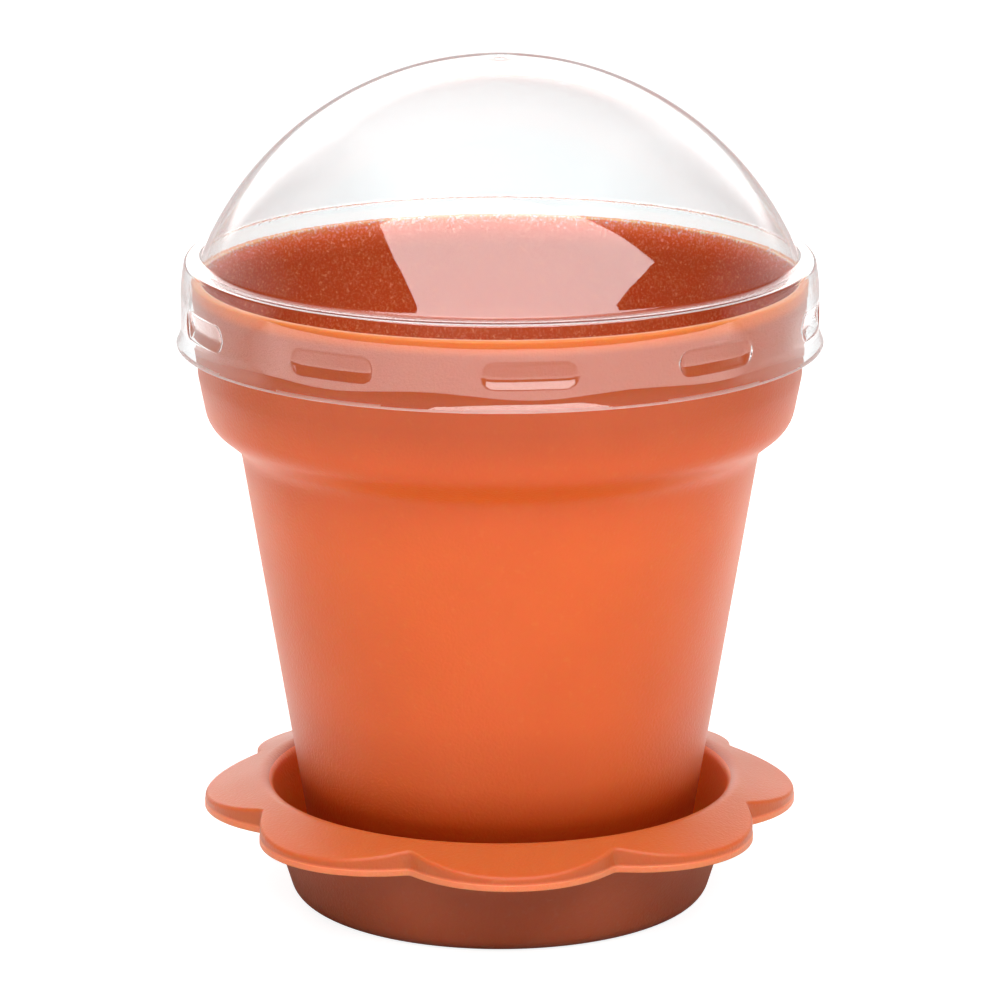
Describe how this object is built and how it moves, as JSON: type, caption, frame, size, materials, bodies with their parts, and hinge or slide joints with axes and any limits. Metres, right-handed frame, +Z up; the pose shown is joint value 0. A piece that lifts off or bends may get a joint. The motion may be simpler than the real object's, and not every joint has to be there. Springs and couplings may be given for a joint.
{
  "type": "flowerpot cup with dome lid",
  "caption": "Tapered flowerpot-shaped plastic cup standing in a scalloped saucer, closed by a clear dome lid whose skirt snaps over the rim.",
  "frame": {"origin": "centre of the saucer's underside, on the common axis of saucer, pot and lid", "axes": "+Z up along the common axis, -Y towards the front"},
  "size_m": [0.0884, 0.0884, 0.1181],
  "materials": {
    "saucer_plastic": "satin moulded polypropylene, terracotta",
    "pot_plastic": "fine-grained translucent polypropylene outside, smoother inside, terracotta",
    "clear_plastic": "clear glossy moulded sheet"
  },
  "bodies": {
    "saucer": {"saucer": "saucer_plastic"},
    "pot": {"pot": "pot_plastic"},
    "dome_lid": {"dome_lid": "clear_plastic"}
  },
  "joints": [
    {"name": "pot_lift", "type": "slide", "parent": "saucer", "child": "pot", "axis": [0, 0, 1], "range_m": [0, 0.03]},
    {"name": "lid_lift", "type": "slide", "parent": "pot", "child": "dome_lid", "axis": [0, 0, 1], "range_m": [0, 0.04]}
  ]
}
